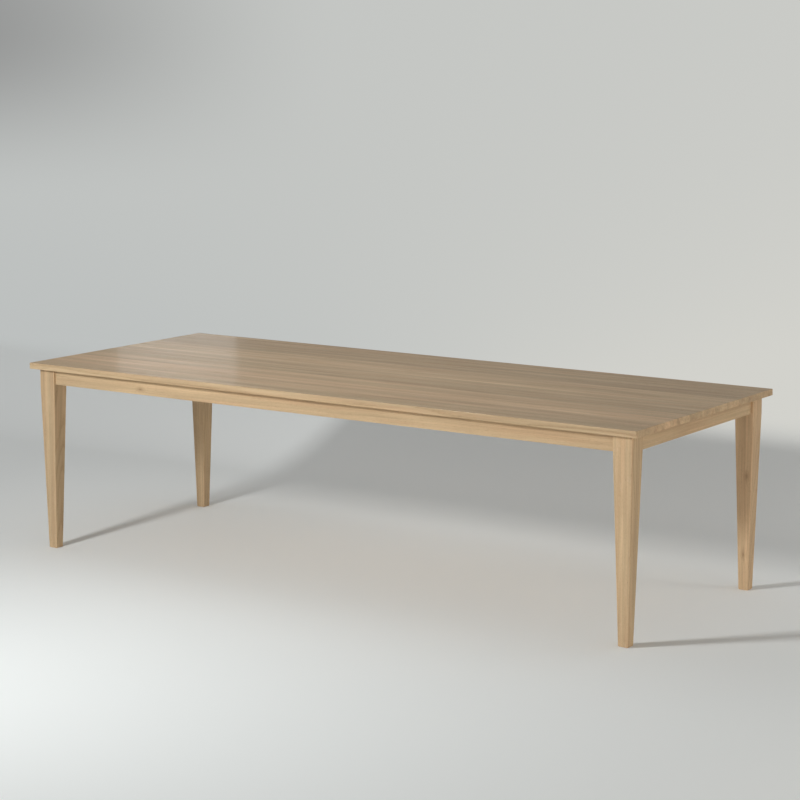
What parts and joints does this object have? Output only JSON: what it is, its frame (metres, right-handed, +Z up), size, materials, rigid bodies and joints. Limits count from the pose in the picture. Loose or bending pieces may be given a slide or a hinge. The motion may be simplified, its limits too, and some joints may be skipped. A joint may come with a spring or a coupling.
{
  "type": "refectory table",
  "caption": "Long oak refectory table: an edge-jointed plank top on square legs tapered on every face, with a plain apron frame, for people to sit round.",
  "frame": {"origin": "on the floor, under the middle of the top", "axes": "+X along the table, +Y from the front apron to the back one, +Z up"},
  "size_m": [2.72, 1.06, 0.75],
  "materials": {
    "oak_top": "natural oak boards, clear satin oil",
    "oak_frame": "natural oak, clear satin oil",
    "oak_inner": "natural oak, planed and left bare",
    "screw_steel": "bright zinc-plated steel"
  },
  "bodies": {
    "root": {"top_board_1": "oak_top", "top_board_2": "oak_top", "top_board_3": "oak_top", "top_board_4": "oak_top", "top_board_5": "oak_top", "top_board_6": "oak_top", "top_board_7": "oak_top", "top_board_8": "oak_top", "top_board_9": "oak_top", "top_board_10": "oak_top", "top_board_11": "oak_top", "top_tongue_1": "oak_top", "top_tongue_2": "oak_top", "top_tongue_3": "oak_top", "top_tongue_4": "oak_top", "top_tongue_5": "oak_top", "top_tongue_6": "oak_top", "top_tongue_7": "oak_top", "top_tongue_8": "oak_top", "top_tongue_9": "oak_top", "top_tongue_10": "oak_top", "front_left_leg": "oak_frame", "front_right_leg": "oak_frame", "back_right_leg": "oak_frame", "back_left_leg": "oak_frame", "front_apron": "oak_frame", "back_apron": "oak_frame", "left_apron": "oak_frame", "right_apron": "oak_frame", "cross_rail_1": "oak_inner", "cross_rail_2": "oak_inner", "cross_rail_3": "oak_inner", "front_left_block": "oak_inner", "front_right_block": "oak_inner", "back_right_block": "oak_inner", "back_left_block": "oak_inner", "top_buttons": "oak_inner", "button_screws": "screw_steel", "rail_screws": "screw_steel", "block_screws": "screw_steel"}
  },
  "joints": []
}
